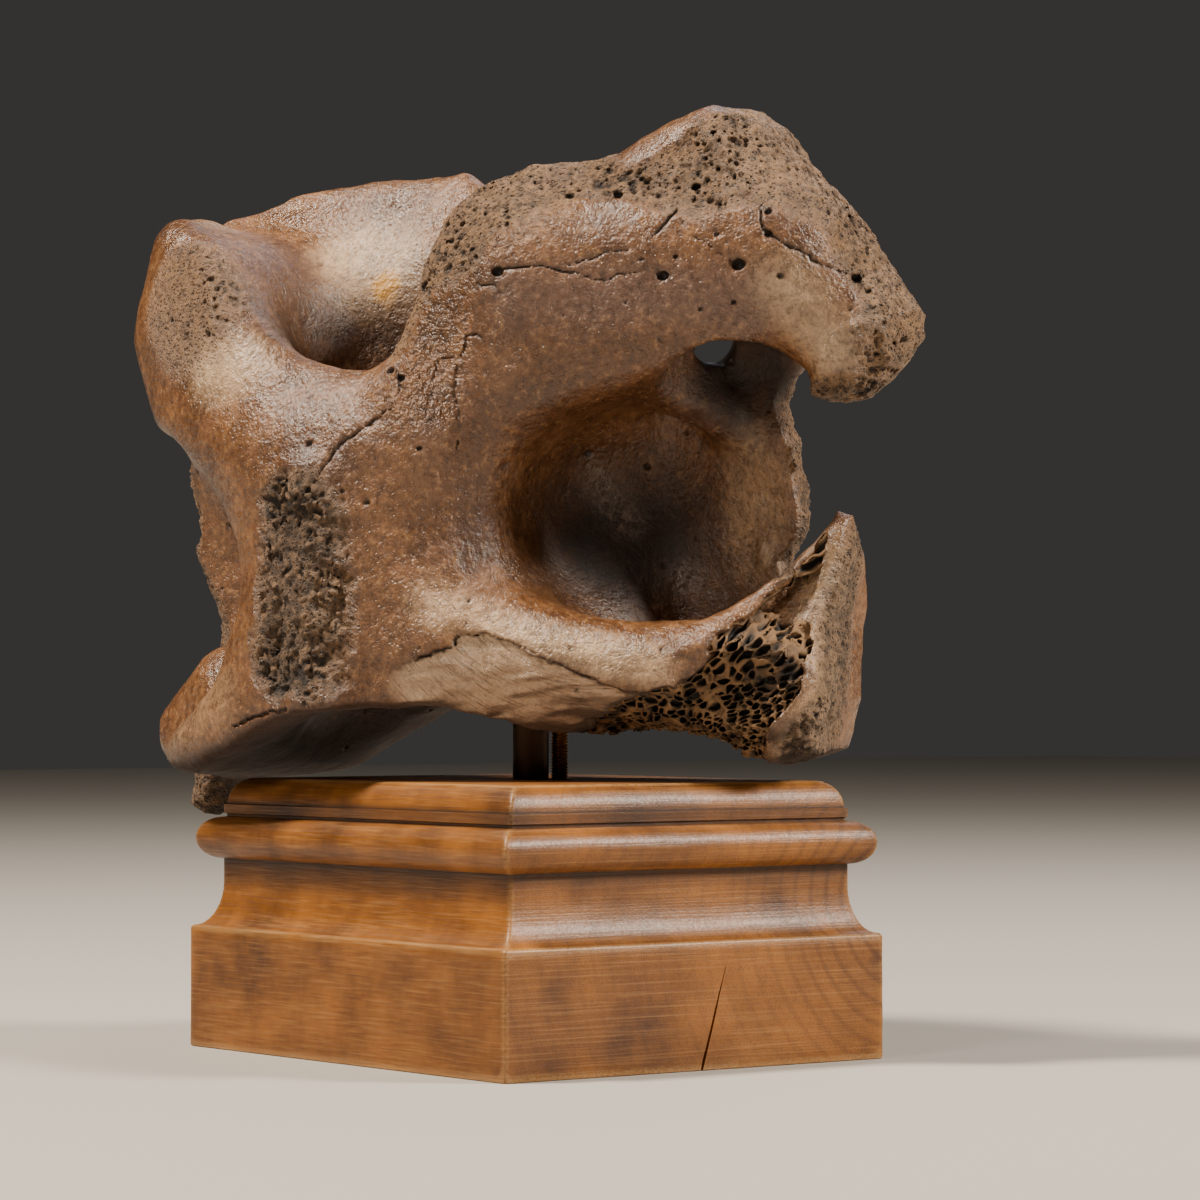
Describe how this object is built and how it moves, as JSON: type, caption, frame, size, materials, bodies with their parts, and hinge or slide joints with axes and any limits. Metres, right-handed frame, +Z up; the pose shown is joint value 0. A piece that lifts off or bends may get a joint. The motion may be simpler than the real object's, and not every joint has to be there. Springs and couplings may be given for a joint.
{
  "type": "fossil steppe bison vertebra on a wooden plinth",
  "caption": "Fossil atlas vertebra of a steppe bison, one wing broken away, held upright by two metal uprights on a moulded wooden plinth.",
  "frame": {"origin": "middle of the plinth's underside", "axes": "+Z up; the plinth's long-grain sides face -X and +X, its end-grain sides face -Y and +Y; the bone is seen as in the reference from about halfway between -X and -Y"},
  "size_m": [0.1185, 0.1828, 0.2132],
  "materials": {
    "fossil_bone": "waxed fossil bone, brown to ochre, glossy where rubbed and dull on breaks",
    "plinth_wood": "warm brown stained wood with a thin satin wax, pale worn corners",
    "dark_steel": "smooth dark bronzed steel",
    "brass": "dull threaded brass"
  },
  "bodies": {
    "root": {"vertebra": "fossil_bone", "plinth": "plinth_wood", "support_post": "dark_steel", "threaded_rod": "brass"}
  },
  "joints": []
}
